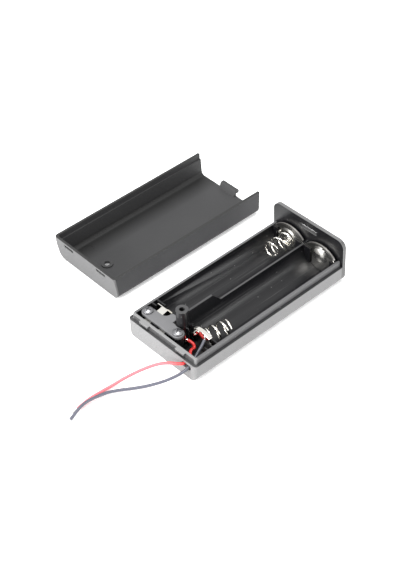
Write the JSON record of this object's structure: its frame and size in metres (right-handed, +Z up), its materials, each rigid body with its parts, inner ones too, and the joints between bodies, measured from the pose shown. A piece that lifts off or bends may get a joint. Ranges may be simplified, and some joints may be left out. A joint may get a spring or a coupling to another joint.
{
  "type": "cylindrical cell holder",
  "caption": "Flat open battery box with side-by-side cell troughs, sprung sheet contacts, a slide switch in the floor, soldered leads and a separate screw-down cover lying beside it.",
  "frame": {"origin": "centre of the base's flat underside, between its two ends and its two long sides", "axes": "+X along the box from the switch and lead end to the tall end wall, +Y to the side where the cover lies, +Z up out of the open box"},
  "size_m": [0.1206, 0.0825, 0.0179],
  "materials": {
    "base_plastic": "black moulded plastic, semi-gloss",
    "cover_plastic": "black moulded plastic, fine matt texture",
    "plate_plastic": "black moulded plastic, matt",
    "slider_plastic": "black moulded plastic, matt",
    "screw_metal": "bright nickel-plated steel",
    "bridge_metal": "bare phosphor bronze",
    "contact_metal": "nickel-plated spring steel, satin",
    "spring_wire": "nickel-plated spring wire",
    "red_insulation": "soft red insulation, slight sheen",
    "black_insulation": "soft black insulation, slight sheen",
    "tinned_core": "tinned stranded copper",
    "solder": "smooth solder"
  },
  "bodies": {
    "base": {"base_case": "base_plastic", "cover": "cover_plastic", "switch_plate": "plate_plastic", "plate_screws": "screw_metal", "red_terminal": "contact_metal", "far_positive_contact": "contact_metal", "near_spring_plate": "contact_metal", "near_spring": "spring_wire", "link_plate": "contact_metal", "far_spring": "spring_wire", "red_lead": "red_insulation", "black_lead": "black_insulation", "red_core": "tinned_core", "black_core": "tinned_core", "red_solder": "solder", "black_solder": "solder"},
    "slider": {"switch_slider": "slider_plastic", "switch_bridge": "bridge_metal"}
  },
  "joints": [
    {"name": "switch_slide", "type": "slide", "parent": "base", "child": "slider", "axis": [0, 1, 0], "range_m": [0, 0.0024]}
  ]
}
